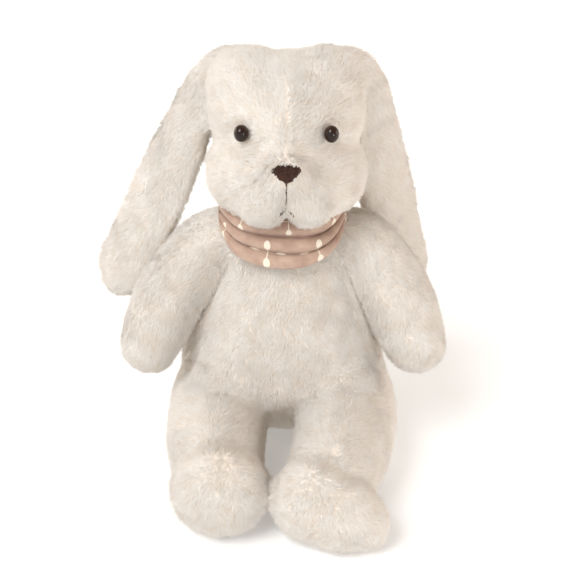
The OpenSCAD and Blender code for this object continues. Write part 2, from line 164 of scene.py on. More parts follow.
def add_studio():
    """A broad key from above, the front and the toy's right, warm light from both sides and a lamp
    behind, with a pale world and floor."""
    bpy.context.scene.view_settings.view_transform = "Standard"
    bpy.context.scene.cycles.max_bounces = LIGHT_BOUNCES
    bpy.context.scene.cycles.diffuse_bounces = LIGHT_BOUNCES
    add_sun((-0.48, -0.62, 0.80), 2.1, 32, (0.98, 0.99, 1.0))
    add_disk("eye_glint", (0.56, -0.92, 0.21), 0.06, 1.3, (1.0, 1.0, 1.0))
    add_disk("warm_left", (1.25, 0.05, 0.38), 0.7, 3.2, (1.0, 0.75, 0.56))
    add_disk("warm_right", (-1.2, 0.5, 0.5), 0.7, 2.5, (1.0, 0.80, 0.63))
    add_disk("back", (0.3, 1.3, 1.0), 0.9, 8, (1.0, 0.97, 0.93))
    world = bpy.data.worlds.new("studio")
    world.use_nodes = True
    tree = world.node_tree
    place = tree.nodes.new("ShaderNodeTexCoord")
    parts = tree.nodes.new("ShaderNodeSeparateXYZ")
    tree.links.new(place.outputs["Generated"], parts.inputs["Vector"])
    sky = ramp_node(tree, parts.outputs["Z"], WORLD_TONES)
    tree.links.new(sky.outputs["Color"], tree.nodes["Background"].inputs["Color"])
    tree.nodes["Background"].inputs["Strength"].default_value = 1.0
    bpy.context.scene.world = world
    bm = bmesh.new()
    bmesh.ops.create_grid(bm, x_segments=1, y_segments=1, size=FLOOR_HALF)
    floor = mesh_object("floor", bm, [floor_material()])


# ---- Meshes ----


def mesh_object(name, bm, materials):
    """A new object in the scene from a bmesh, smooth shaded."""
    mesh = bpy.data.meshes.new(name)
    bm.to_mesh(mesh)
    bm.free()
    mesh.shade_smooth()
    for m in materials:
        mesh.materials.append(m)
    return add_object(name, mesh)


def apply_modifiers(obj):
    """Bakes an object's modifiers into its mesh."""
    bpy.context.view_layer.update()
    graph = bpy.context.evaluated_depsgraph_get()
    mesh = bpy.data.meshes.new_from_object(obj.evaluated_get(graph), depsgraph=graph)
    obj.modifiers.clear()
    obj.data = mesh
    mesh.shade_smooth()


def add_smoothing(obj, factor, rounds):
    smooth = obj.modifiers.new("smooth", "SMOOTH")
    smooth.factor = factor
    smooth.iterations = rounds


def add_subdivision(obj):
    finer = obj.modifiers.new("finer", "SUBSURF")
    finer.levels = 1
    finer.render_levels = 1
    apply_modifiers(obj)


def add_thickness(cloth):
    """Gives a sheet its thickness, then one subdivision."""
    thick = cloth.modifiers.new("thick", "SOLIDIFY")
    thick.thickness = CLOTH_THICK * MM
    thick.offset = 0
    add_subdivision(cloth)


def ball(centre, radii):
    """One ball of a soft form, as a matrix."""
    radii = (radii,) * 3 if np.isscalar(radii) else radii
    return Matrix.Translation(Vector(centre)) @ Matrix.Diagonal((*radii, 1))


def twins(middle, x, y, z, radii):
    """Two balls of one size, each x from the middle."""
    return [ball((middle + side * x, y, z), radii) for side in (LEFT, RIGHT)]


def curve_point(rows, i, f):
    """A point on a smooth curve through rows, a part f of the way from row i to the next."""
    last = len(rows) - 1
    a, b = rows[max(i - 1, 0)], rows[i]
    c, d = rows[i + 1], rows[min(i + 2, last)]
    return b + 0.5 * f * ((c - a) + f * ((2 * a - 5 * b + 4 * c - d) + f * (3 * (b - c) + d - a)))


def smooth_rows(rows, steps=5):
    """More rows along a smooth curve through the given ones."""
    rows = [np.array(r, float) for r in rows]
    found = [curve_point(rows, i, k / steps) for i in range(len(rows) - 1) for k in range(steps)]
    return np.array(found + [rows[-1]])


def chain(rows):
    """Balls along a smooth curve. A row is (x, y, z, radius)."""
    return [ball(r[:3], r[3]) for r in smooth_rows(rows)]


def soft_form(name, balls, voxel, rounds, materials):
    """One closed skin melted together from overlapping balls, then smoothed."""
    bm = bmesh.new()
    for m in balls:
        bmesh.ops.create_icosphere(bm, subdivisions=3, radius=1, matrix=TO_METRES @ m)
    obj = mesh_object(name, bm, materials)
    remesh = obj.modifiers.new("melt", "REMESH")
    remesh.mode = "VOXEL"
    remesh.voxel_size = voxel * MM
    add_smoothing(obj, 0.5, rounds)
    apply_modifiers(obj)
    return obj


def points_of(obj):
    """The mesh's points and normals, in millimetres."""
    verts = obj.data.vertices
    found = {field: np.zeros(len(verts) * 3) for field in ("co", "normal")}
    for field, values in found.items():
        verts.foreach_get(field, values)
    return millimetres(found["co"].reshape(-1, 3)), found["normal"].reshape(-1, 3)


def set_points(obj, points):
    obj.data.vertices.foreach_set("co", metres(points).astype(np.float32).ravel())
    obj.data.update()


def near(points, centre, radii):
    """1 at the centre, falling smoothly to 0 at the radii."""
    d = np.linalg.norm((points - np.array(centre, float)) / np.array(radii, float), axis=1)
    t = np.clip(1 - d, 0, 1)
    return t * t * (3 - 2 * t)


def waves(points, size, seed, count=9):
    """Smooth noise from about -1 to 1, in lumps about `size` across, the same on every run."""
    rng = np.random.default_rng(seed)
    away = rng.normal(size=(count, 3))
    away /= np.linalg.norm(away, axis=1)[:, None]
    pitch = 2 * np.pi / size * rng.uniform(0.5, 1.3, count)
    start = rng.uniform(0, 2 * np.pi, count)
    return np.sin(points @ (away * pitch[:, None]).T + start).mean(axis=1) * 2.2


def unit(v):
    return v / np.maximum(np.linalg.norm(v, axis=-1, keepdims=True), 1e-9)


def running_sum(steps):
    return np.concatenate([[0], np.cumsum(steps)])


def nearest_row(points, line):
    """For each point, the index of the nearest point of a line."""
    tree = KDTree(len(line))
    for i, p in enumerate(line):
        tree.insert(p, i)
    tree.balance()
    return np.array([tree.find(p)[1] for p in points])


def along_line(points, line):
    """For each point, the line's direction beside it and the way from the line to the point."""
    i = nearest_row(points, line)
    ways = unit(np.gradient(line, axis=0))
    return ways[i], points - line[i]


def seam_distance(points, line, across):
    """How far each point is from the seams of a part whose panels meet in a plane that runs
    along the line, square to `across`."""
    way, off = along_line(points, line)
    side = np.array(across, float) - way * (way @ np.array(across, float))[:, None]
    return np.abs((off * unit(side)).sum(axis=1))


SEAM_WIDTH = 3.0
SEAM_DEPTH = 0.9
FILL_FRAMES = 20


def fill_out(obj, seam, cap, pressure=4.0):
    """Lets the filling push the fabric out between the seams by cloth simulation, by at most
    `cap`, then adds one subdivision and draws the seams in a little."""
    before, _ = points_of(obj)
    group = obj.vertex_groups.new(name="seam")
    held = np.flatnonzero(seam(before) < SEAM_WIDTH).tolist()
    group.add(held, 1.0, "REPLACE")
    cloth = obj.modifiers.new("fill", "CLOTH")
    cloth.settings.vertex_group_mass = "seam"
    cloth.settings.use_pressure = True
    cloth.settings.uniform_pressure_force = pressure
    cloth.settings.effector_weights.gravity = 0
    cloth.collision_settings.use_collision = False
    cloth.point_cache.frame_end = FILL_FRAMES
    for f in range(1, FILL_FRAMES + 1):
        bpy.context.scene.frame_set(f)
    apply_modifiers(obj)
    bpy.context.scene.frame_set(1)
    obj.vertex_groups.clear()
    after, _ = points_of(obj)
    move = after - before
    far = np.linalg.norm(move, axis=1)[:, None]
    set_points(obj, before + move * np.minimum(1, cap / np.maximum(far, 1e-6)))
    add_subdivision(obj)
    points, normals = points_of(obj)
    t = np.clip(1 - seam(points) / SEAM_WIDTH, 0, 1)
    set_points(obj, points - normals * (SEAM_DEPTH * t * t * (3 - 2 * t))[:, None])


def soften_joins(skins, balls, reach, rounds):
    """Fills the creases where skins meet: every point that lies less than `reach` under the
    surface of all the forms melted together moves out to it, and less the deeper it lies."""
    melted = soft_form("joins", balls, 3.8, rounds, [])
    tree = skin_tree(melted)
    for skin in skins:
        points, _ = points_of(skin)
        for i, p in enumerate(points):
            place, normal, _, far = tree.find_nearest(Vector(p), reach)
            if place is not None and (place - Vector(p)).dot(normal) > 0:
                part = 1 - far / reach
                points[i] += (np.array(place) - p) * min(1.0, 2.2 * part)
        set_points(skin, points)
    bpy.data.objects.remove(melted)


def skin_tree(*skins):
    """A tree for finding the nearest point of some skins, in millimetres."""
    verts, faces = [], []
    for skin in skins:
        points, _ = points_of(skin)
        first = len(verts)
        verts += points.tolist()
        faces += [[first + i for i in p.vertices] for p in skin.data.polygons]
    return BVHTree.FromPolygons(verts, faces)


def front_of(tree, x, z):
    """The point of a skin that is met when looking along +Y at x, z."""
    before_toy = -400.0
    return np.array(tree.ray_cast(Vector((x, before_toy, z)), Vector((0, 1, 0)))[0])


def tube(bm, path, radius, sides=8):
    """Adds a closed round tube along a path, with a radius for each point or one for all."""
    path = np.array(path, float)
    radius = np.broadcast_to(radius, len(path))
    ways = unit(np.gradient(path, axis=0))
    rings = []
    for p, way, r in zip(path, ways, radius):
        flat = unit(np.cross(way, (0.31, 0.83, 0.46)))
        other = np.cross(way, flat)
        turns = [2 * math.pi * k / sides for k in range(sides)]
        rings.append([bm.verts.new(metres(p + r * (math.cos(t) * flat + math.sin(t) * other)))
                      for t in turns])
    for low, high in zip(rings, rings[1:]):
        for k in range(sides):
            n = (k + 1) % sides
            bm.faces.new((low[k], low[n], high[n], high[k]))
    bm.faces.new(rings[0][::-1])
    bm.faces.new(rings[-1])


# ---- Materials ----


def new_material(name):
    material = bpy.data.materials.new(name)
    material.use_nodes = True
    tree = material.node_tree
    return material, tree, tree.nodes["Principled BSDF"]


def set_surface(shader, roughness, specular=0.5, sheen=0.0):
    shader.inputs["Roughness"].default_value = roughness
    shader.inputs["Specular IOR Level"].default_value = specular
    shader.inputs["Sheen Weight"].default_value = sheen


def set_glow(shader, colour, strength):
    shader.inputs["Emission Color"].default_value = (*colour, 1)
    shader.inputs["Emission Strength"].default_value = strength


def noise_node(tree, scale, detail=3.0):
    """A noise texture on the object's own coordinates."""
    place = tree.nodes.new("ShaderNodeTexCoord")
    noise = tree.nodes.new("ShaderNodeTexNoise")
    noise.inputs["Scale"].default_value = scale
    noise.inputs["Detail"].default_value = detail
    tree.links.new(place.outputs["Object"], noise.inputs["Vector"])
    return noise


def ramp_node(tree, source, stops):
    """A colour ramp from (place, colour) stops."""
    ramp = tree.nodes.new("ShaderNodeValToRGB")
    for i, (place, colour) in enumerate(stops):
        e = ramp.color_ramp.elements[i] if i < 2 else ramp.color_ramp.elements.new(place)
        e.position = place
        e.color = (*colour, 1)
    tree.links.new(source, ramp.inputs["Fac"])
    return ramp


def set_colours(tree, shader, source, stops):
    """Base colours that follow a source through a colour ramp."""
    ramp = ramp_node(tree, source, stops)
    tree.links.new(ramp.outputs["Color"], shader.inputs["Base Color"])


def set_bumps(tree, shader, source, strength, distance):
    bump = tree.nodes.new("ShaderNodeBump")
    bump.inputs["Strength"].default_value = strength
    bump.inputs["Distance"].default_value = distance
    tree.links.new(source, bump.inputs["Height"])
    tree.links.new(bump.outputs["Normal"], shader.inputs["Normal"])


def math_node(tree, operation, a, b=None):
    """A math node on links or numbers."""
    node = tree.nodes.new("ShaderNodeMath")
    node.operation = operation
    for socket, value in zip(node.inputs, (a, b)):
        if value is None:
            continue
        if isinstance(value, (int, float)):
            socket.default_value = value
        else:
            tree.links.new(value, socket)
    return node.outputs[0]


def mix_colour(tree, share, source, colour):
    """A mix of a source's colour and a plain one."""
    node = tree.nodes.new("ShaderNodeMix")
    node.data_type = "RGBA"
    tree.links.new(share, node.inputs["Factor"])
    tree.links.new(source, node.inputs[6])
    node.inputs[7].default_value = (*colour, 1)
    return node.outputs[2]


FLOOR_GLOW = 0.22
# Painted light: every fur strand glows a little in a warm tint, for the light that thin fibres pass on
# to each other; it also warms the fur's shade.
FIBRE_PAINTED_LIGHT = 0.07
PAINTED_LIGHT_TINT = (1.0, 0.84, 0.68)


def floor_material():
    material, tree, shader = new_material("floor_pale")
    noise = noise_node(tree, 3)
    set_colours(tree, shader, noise.outputs["Fac"],
                [(0.3, (0.88, 0.885, 0.885)), (0.7, (0.91, 0.91, 0.91))])
    set_surface(shader, 0.9)
    set_glow(shader, (0.95, 0.98, 1.0), FLOOR_GLOW)
    return material


def plush_material(name, dark, light):
    """The backing and the roots of the pile: mottled, with fine fibre bumps."""
    material, tree, shader = new_material(name)
    patches = noise_node(tree, 60)
    set_colours(tree, shader, patches.outputs["Fac"], [(0.35, dark), (0.65, light)])
    fibres = noise_node(tree, 900, 4)
    set_bumps(tree, shader, fibres.outputs["Fac"], 0.6, 0.001)
    set_surface(shader, 0.95, 0.15, 0.3)
    return material


def strand_material(name, colour):
    """One tone of fur strand. A coat mixes several of them strand by strand. A little warm glow is
    painted light: it stands for the light that thin fibres pass on to each other."""
    material, _, shader = new_material(name)
    shader.inputs["Base Color"].default_value = (*colour, 1)
    set_surface(shader, 0.85, 0.12, 0.2)
    set_glow(shader, [c * part for c, part in zip(colour, PAINTED_LIGHT_TINT)], FIBRE_PAINTED_LIGHT)
    return material


def bead_material(centre):
    """Glossy dark brown eye, with a darker middle."""
    material, tree, shader = new_material("eye_bead_gloss")
    place = tree.nodes.new("ShaderNodeTexCoord")
    off = tree.nodes.new("ShaderNodeVectorMath")
    off.operation = "DISTANCE"
    tree.links.new(place.outputs["Object"], off.inputs[0])
    off.inputs[1].default_value = Vector(metres(centre))
    ring = math_node(tree, "MULTIPLY", off.outputs["Value"], 150.0)
    set_colours(tree, shader, ring, [(0.35, (0.008, 0.004, 0.003)), (0.8, (0.040, 0.018, 0.010))])
    set_surface(shader, 0.14, 0.32)
    return material


def thread_material():
    """Dark brown embroidery thread, with fine twist lines."""
    material, tree, shader = new_material("brown_thread_satin")
    tones = noise_node(tree, 700)
    set_colours(tree, shader, tones.outputs["Fac"],
                [(0.3, (0.026, 0.010, 0.006)), (0.7, (0.075, 0.032, 0.019))])
    place = tree.nodes.new("ShaderNodeTexCoord")
    twist = tree.nodes.new("ShaderNodeTexWave")
    twist.bands_direction = "DIAGONAL"
    twist.inputs["Scale"].default_value = 900
    twist.inputs["Distortion"].default_value = 1.5
    tree.links.new(place.outputs["Object"], twist.inputs["Vector"])
    set_bumps(tree, shader, twist.outputs["Fac"], 0.5, 0.0003)
    set_surface(shader, 0.65, 0.25)
    return material


SPRIG_PITCH = 29.0
ROW_SHIFT = 0.42 * SPRIG_PITCH
LEAF_OUT = 7.6
LEAF_LONG = 2.9
LEAF_BROAD = 1.8
STEM_HALF = 0.32
THREAD_PITCH = 0.7


def cloth_material():
    """Thin mauve cotton with a plain weave and a pale print of four-leaved sprigs. Its UV map is
    in millimetres of cloth."""
    material, tree, shader = new_material("printed_cotton_weave")
    uv = tree.nodes.new("ShaderNodeUVMap")
    uv.uv_map = "cloth"
    parts = tree.nodes.new("ShaderNodeSeparateXYZ")
    tree.links.new(uv.outputs["UV"], parts.inputs["Vector"])
    across, up = parts.outputs["X"], parts.outputs["Y"]

    def calc(operation, a, b=None):
        return math_node(tree, operation, a, b)

    def from_middle(place):
        """How far a place is from the middle of its sprig's square."""
        inside = calc("FLOORED_MODULO", place, SPRIG_PITCH)
        return calc("ABSOLUTE", calc("SUBTRACT", inside, SPRIG_PITCH / 2))

    row = calc("FLOOR", calc("DIVIDE", up, SPRIG_PITCH))
    x = from_middle(calc("ADD", across, calc("MULTIPLY", row, ROW_SHIFT)))
    y = from_middle(up)
    long = calc("MAXIMUM", x, y)
    short = calc("MINIMUM", x, y)
    out = calc("DIVIDE", calc("SUBTRACT", long, LEAF_OUT), LEAF_LONG)
    side = calc("DIVIDE", short, LEAF_BROAD)
    leaf = calc("ADD", calc("POWER", calc("ABSOLUTE", out), 2.0), calc("POWER", side, 2.0))
    stem = calc("MULTIPLY", calc("LESS_THAN", short, STEM_HALF), calc("LESS_THAN", long, LEAF_OUT))
    ink = calc("MAXIMUM", calc("LESS_THAN", leaf, 1.0), stem)
    tones = noise_node(tree, 120)
    ground = ramp_node(tree, tones.outputs["Fac"],
                       [(0.3, (0.40, 0.262, 0.205)), (0.7, (0.52, 0.375, 0.29))])
    colour = mix_colour(tree, ink, ground.outputs["Color"], (0.80, 0.72, 0.60))
    tree.links.new(colour, shader.inputs["Base Color"])
    warp, weft = (calc("SINE", calc("MULTIPLY", v, 2 * math.pi / THREAD_PITCH)) for v in (across, up))
    set_bumps(tree, shader, calc("MULTIPLY", warp, weft), 0.25, 0.0002)
    set_surface(shader, 0.85, 0.2, 0.25)
    return material


# ---- Fur ----

# Length of the white pile
PILE = 4.8
ROOT_DEPTH = 0.5
LOWEST_TIP = 0.2
TUFT_STRANDS = 14
# How far the pile turns aside in its swirls, in degrees
SWIRL = 26


def skin_samples(skin, count, rng):
    """Points spread evenly over a skin, with its smooth normal at each, in millimetres."""
    mesh = skin.data
    mesh.calc_loop_triangles()
    tris = np.zeros(len(mesh.loop_triangles) * 3, np.int32)
    mesh.loop_triangles.foreach_get("vertices", tris)
    tris = tris.reshape(-1, 3)
    points, normals = points_of(skin)
    a, b, c = points[tris[:, 0]], points[tris[:, 1]], points[tris[:, 2]]
    area = np.linalg.norm(np.cross(b - a, c - a), axis=1) / 2
    which = rng.choice(len(tris), size=count, p=area / area.sum())
    u, v = rng.random(count), rng.random(count)
    flip = u + v > 1
    u[flip], v[flip] = 1 - u[flip], 1 - v[flip]
    share = np.stack([1 - u - v, u, v], axis=1)[:, :, None]
    t = tris[which]
    return (points[t] * share).sum(axis=1), unit((normals[t] * share).sum(axis=1))


def skin_area(skin):
    """The area of a skin in square millimetres."""
    return sum(p.area for p in skin.data.polygons) / MM**2


def tuft_tips(roots, tips, each):
    """For each strand, the tip of the strand that leads its tuft."""
    leaders = np.arange(0, len(roots), int(each))
    return tips[leaders[nearest_row(roots, roots[leaders])]]


def fur(name, skin, comb, length, density, seed, tones, keep=None, lean=50, width=0.5, tuft=0.36):
    """A coat of tapered three-sided strands on a skin. comb gives each point's pile direction,
    length is in millimetres or a function of points and normals, density is in strands a square
    millimetre, and keep gives the part of the strands that stays."""
    rng = np.random.default_rng(seed)
    share = 1.0
    count = int(skin_area(skin) * density * share)
    roots, normals = skin_samples(skin, count, rng)
    long = length(roots, normals) if callable(length) else np.full(count, float(length))
    if keep is not None:
        kept = rng.random(count) < keep(roots, normals)
        roots, normals, long = roots[kept], normals[kept], long[kept]
        count = len(roots)
    lay = unit(comb(roots, normals))
    lay = unit(lay - normals * (lay * normals).sum(axis=1)[:, None])
    across = np.cross(normals, lay)
    swirl = np.radians(SWIRL * waves(roots, 40, seed + 1) + SWIRL * waves(roots, 11, seed + 2)
                       + rng.normal(0, 20, count))[:, None]
    lay = lay * np.cos(swirl) + across * np.sin(swirl)
    tilt = lean + 10 * waves(roots, 14, seed + 3) + rng.normal(0, 10, count)
    tilt = np.radians(np.clip(tilt, 8, 78))[:, None]
    long = (long * (1 + 0.10 * waves(roots, 9, seed + 4)) * rng.uniform(0.7, 1.12, count))[:, None]
    base = roots - normals * ROOT_DEPTH
    tips = base + (lay * np.sin(tilt) + normals * np.cos(tilt)) * (long + ROOT_DEPTH)
    lead = tuft_tips(roots, tips, TUFT_STRANDS * share)
    tips += (lead - tips) * (tuft * rng.uniform(0.3, 1.0, count)[:, None])
    tips[:, 2] = np.maximum(tips[:, 2], LOWEST_TIP)
    axis = unit(tips - base)
    flat = unit(np.cross(axis, normals + 0.01))
    other = np.cross(axis, flat)
    thick = (width / math.sqrt(share) / 2 * rng.uniform(0.75, 1.25, count))[:, None]
    turn = rng.uniform(0, 2 * np.pi, count)[:, None]
    corners, shades = [], []
    for k in range(3):
        t = turn + 2 * np.pi * k / 3
        out = np.cos(t) * flat + np.sin(t) * other
        corners.append(base + out * thick)
        shades.append(unit(0.8 * normals + 0.2 * out))
    verts = np.stack(corners + [tips], axis=1)
    shade = np.stack(shades + [unit(0.85 * normals + 0.15 * axis)], axis=1)
    return strand_mesh(name, verts, shade, tones, rng, waves(roots, 13, seed + 5))


def strand_mesh(name, verts, shade, tones, rng, patch):
    """One mesh of pointed three-sided strands, in a few tones."""
    count = len(verts)
    loops = (np.arange(count)[:, None] * 4 + np.array([[0, 1, 3, 1, 2, 3, 2, 0, 3]])).ravel()
    mesh = bpy.data.meshes.new(name)
    mesh.vertices.add(count * 4)
    mesh.vertices.foreach_set("co", metres(verts).astype(np.float32).ravel())
    mesh.loops.add(count * 9)
    mesh.loops.foreach_set("vertex_index", loops.astype(np.int32))
    mesh.polygons.add(count * 3)
    mesh.polygons.foreach_set("loop_start", np.arange(0, count * 9, 3, dtype=np.int32))
    for m in tones:
        mesh.materials.append(m)
    tone = np.clip(np.round(1.6 + 0.4 * patch + rng.normal(0, 0.75, count)), 0, len(tones) - 1)
    mesh.polygons.foreach_set("material_index", np.repeat(tone, 3).astype(np.int32))
    mesh.update(calc_edges=True)
    mesh.shade_smooth()
    mesh.normals_split_custom_set_from_vertices(shade.reshape(-1, 3).astype(np.float32))
    return add_object(name, mesh)


WHITE_TONES = [strand_material(f"plush_strand_{name}", colour) for name, colour in (
    ("warm", (0.81, 0.715, 0.61)), ("cream", (0.87, 0.81, 0.735)),
    ("white", (0.91, 0.87, 0.82)), ("bright", (0.945, 0.925, 0.895)))]
# The ear lining is a short pile of its own, but its peach tones are painted shade: they stand for the
# warm shade on the ear's inner side, which faces back and towards the head.
LINING_SHADE_TONES = [strand_material(f"lining_shade_strand_{name}", colour) for name, colour in (
    ("deep", (0.78, 0.62, 0.49)), ("peach", (0.85, 0.71, 0.58)), ("pale", (0.90, 0.80, 0.69)))]
SKIN = plush_material("plush_backing", (0.83, 0.72, 0.61), (0.89, 0.81, 0.73))
# The lining's backing, in the same peach painted shade.
LINING_SHADE_SKIN = plush_material("lining_shade_backing", (0.78, 0.62, 0.49), (0.86, 0.73, 0.61))

# ---- Head ----

HEAD_NODES = ("face_left_panel", "face_right_panel", "head_back_left_panel", "head_back_right_panel")
HEAD_LOW, HEAD_HIGH = box_mm(*HEAD_NODES)
CROWN = HEAD_HIGH[2]
CHIN = HEAD_LOW[2]
HEAD_X = -1.0
EYE_R = 5.5
SOCKET_DEPTH = 2.8


def eye_centre(side):
    """The middle of one eye bead, from the box of the CAD eye and its shank."""
    low, high = box_mm(f"eye_{SIDE_NAME[side]}")
    x = high[0] - EYE_R if side == LEFT else low[0] + EYE_R
    return np.array([x, low[1] + EYE_R, (low[2] + high[2]) / 2])


EYES = {side: eye_centre(side) for side in (LEFT, RIGHT)}
NOSE_LOW, NOSE_HIGH = box_mm("nose")
NOSE = (NOSE_LOW + NOSE_HIGH) / 2
MOUTH_LOW, _ = box_mm("mouth_stitch")


def head_balls():
    top, low = CROWN, CHIN
    return [
        ball((HEAD_X, -8, top - 45), (47, 44, 45)),
        *twins(HEAD_X, 25, -6, top - 20, (25, 28, 23)),
        *twins(HEAD_X, 20, -5, top - 38, (29, 38, 36)),
        ball((HEAD_X, 2, low + 32), (43, 37, 30)),
        ball((HEAD_X, -28, low + 16), (33, 30, 17)),
        ball((HEAD_X, -51, low + 39), (17, 20, 16)),
        *twins(HEAD_X, 25, -18, low + 26, (26, 35, 26)),
        *twins(HEAD_X, 13, -46, low + 21, (20, 22, 20)),
    ]


HEAD_LINE = np.array([[HEAD_X, -8, z] for z in np.linspace(CHIN, CROWN, 20)])


def head_seam(points):
    """Distance from the head's seams: down the middle all round, and over the top at the ears."""
    middle = np.abs(points[:, 0] - HEAD_X)
    sides = seam_distance(points, HEAD_LINE, (0, 1, 0))
    return np.minimum(middle, sides)


def sculpt_face(head):
    """Eye sockets, the line down the forehead, and the cleft under the nose."""
    points, _ = points_of(head)
    for side, eye in EYES.items():
        points[:, 1] += SOCKET_DEPTH * near(points, eye, (13, 22, 12))
        brow = eye + (0, 2, 10)
        points[:, 1] -= 0.9 * near(points, brow, (15, 20, 8))
        cheek = (side * 30 + HEAD_X, -38, CHIN + 30)
        points += np.array([side * 0.8, -1.8, 0]) * near(points, cheek, (18, 24, 20))[:, None]
    front = points[:, 1] < -20
    off = np.abs(points[:, 0] - HEAD_X)
    above = np.clip((points[:, 2] - NOSE_HIGH[2]) / 12, 0, 1)
    points[:, 1] += front * 1.6 * above * np.clip(1 - off / 5, 0, 1) ** 2
    cleft_top = NOSE_LOW[2] + 3
    down = np.clip((cleft_top - points[:, 2]) / (cleft_top - CHIN), 0, 1)
    width = 5 + 5 * down
    depth = 2.0 + 6.5 * down**2
    lip = np.clip(1 - off / width, 0, 1)
    points[:, 1] += front * (down > 0) * depth * lip**2
    points[:, 2] += front * 5.0 * down**3 * lip**2
    set_points(head, points)


def eye_mask(points, normals):
    """No strands where an eye bead or the nose shows."""
    keep = np.ones(len(points))
    for eye in EYES.values():
        d = np.linalg.norm((points - eye)[:, [0, 2]], axis=1)
        keep *= np.clip((d - 2.4) / 1.8, 0, 1) + (points[:, 1] > 0)
    off = np.abs(points[:, 0] - NOSE[0]) / (0.5 * (NOSE_HIGH[0] - NOSE_LOW[0]))
    up = (points[:, 2] - NOSE_LOW[2]) / (NOSE_HIGH[2] - NOSE_LOW[2])
    inside = (up > 0.1) & (up < 1.0) & (off < 0.75 * up + 0.15) & (points[:, 1] < -20)
    return np.clip(keep, 0, 1) * ~inside


def head_length(points, normals):
    """Pile length on the head: short round the eyes and nose, longest on the forehead."""
    long = np.full(len(points), PILE)
    long += 1.8 * near(points, (HEAD_X, -40, CROWN - 14), (26, 40, 30))
    for eye in EYES.values():
        long -= 2.2 * near(points, eye, (12, 20, 12))
    long -= 2.4 * near(points, NOSE, (17, 30, 14))
    return long


def from_nose(points, normals):
    """Pile that runs away from the nose, and parts down the middle of the forehead."""
    away = unit(points - (NOSE + np.array([0, 12, 0])))
    part = np.sign(points[:, 0] - HEAD_X) * near(points, (HEAD_X, -45, CROWN - 24), (22, 40, 40))
    away[:, 0] += 0.9 * part
    behind = np.clip((points[:, 1] + 12) / 22, 0, 1)
    away[:, 2] -= 0.2 + 2.0 * behind
    return away


def make_eye(side, material):
    """A bead on a shank with its locking washer."""
    centre = EYES[side] + (0, 2.2, 0)
    bm = bmesh.new()
    oval = ball(centre, (EYE_R * 0.86, EYE_R * 0.9, EYE_R))
    bmesh.ops.create_icosphere(bm, subdivisions=4, radius=1, matrix=TO_METRES @ oval)
    back = np.array([side * -0.28, 1.0, 0.0])
    tube(bm, [centre + back * 4, centre + back * 9, centre + back * 15], 1.6, 16)
    tube(bm, [centre + back * 12, centre + back * 13.6], 6.0, 24)
    eye = mesh_object(f"eye_{SIDE_NAME[side]}_bead", bm, [material])
    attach(eye, "head")
    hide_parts(f"eye_{SIDE_NAME[side]}", f"eye_washer_{SIDE_NAME[side]}")


def nose_outline(x):
    """The upper and lower edge of the nose at x, both as parts of its height and x from -1 to 1."""
    high = 1.0 - 0.30 * abs(x) ** 2.2
    low = 0.62 * min(1, abs(x)) ** 0.9
    return low, high


def make_nose(tree, material):
    """Satin stitches laid side by side in a rounded triangle, over a padded bed."""
    bm = bmesh.new()
    half = (NOSE_HIGH[0] - NOSE_LOW[0]) / 2
    tall = NOSE_HIGH[2] - NOSE_LOW[2]
    rng = np.random.default_rng(5)
    columns = 21
    for i in range(columns):
        x = -1 + 2 * i / (columns - 1)
        low, high = nose_outline(x * 0.96)
        px = NOSE[0] + x * half
        z0 = NOSE_LOW[2] + tall * low + rng.normal(0, 0.5)
        z1 = NOSE_LOW[2] + tall * high + rng.normal(0, 0.2)
        swell = 2.6 * (1 - 0.45 * x * x)
        path = []
        for f in np.linspace(0, 1, 7):
            z = z0 + (z1 - z0) * f
            out = (swell + 0.8) * math.sin(math.pi * f) ** 0.6 - 0.8
            path.append(front_of(tree, px, z) - (0, out, 0))
        tube(bm, path, 0.62 + rng.uniform(-0.05, 0.08), 8)
    nose = mesh_object("nose_stitches", bm, [material])
    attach(nose, "head")
    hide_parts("nose")


def make_mouth(tree, material):
    """A thread down the cleft that forks at the chin, lying deep in the fur."""
    bm = bmesh.new()

    def laid(points, out):
        return [front_of(tree, x, z) + (0, -out, 0) for x, z in points]

    fork = MOUTH_LOW[2] + 5
    tube(bm, laid([(HEAD_X, z) for z in np.linspace(NOSE_LOW[2] + 1.5, fork, 9)], 0.2), 0.5)
    for side in (LEFT, RIGHT):
        ends = [(HEAD_X + side * 5.0 * f, fork - 4.5 * f) for f in np.linspace(0, 1, 6)]
        tube(bm, laid(ends, 1.2), np.linspace(1.1, 0.7, 6))
    mouth = mesh_object("mouth_thread", bm, [material])
    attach(mouth, "head")
    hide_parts("mouth_stitch")


def make_head(ears):
    """The head, whose skin and coat wait for the ears' skins to meet it."""
    head = soft_form("head_skin", head_balls(), 3.6, 7, [SKIN])
    fill_out(head, head_seam, 3)
    soften_joins([head, *ears], head_balls() + ear_balls(LEFT) + ear_balls(RIGHT), EAR_REACH, 8)
    sculpt_face(head)
    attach(head, "head")
    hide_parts(*HEAD_NODES, "head_stuffing")
    tree = skin_tree(head)
    for side in (LEFT, RIGHT):
        make_eye(side, bead_material(EYES[side]))
    thread = thread_material()
    make_nose(tree, thread)
    make_mouth(tree, thread)
    coat = fur("head_fur", head, from_nose, head_length, 2.5, 11, WHITE_TONES, keep=eye_mask)
    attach(coat, "head")


# ---- Ears ----

EAR_LEAN = {LEFT: 12, RIGHT: 25}
EAR_TIP_Y = {LEFT: 34, RIGHT: 4}
EAR_START, EAR_BEND, EAR_LENGTH = 78, 14, 182
EAR_WIDTH, EAR_THICKNESS, EAR_YAW = 46, 13, 35
EAR_HUG = 3.5


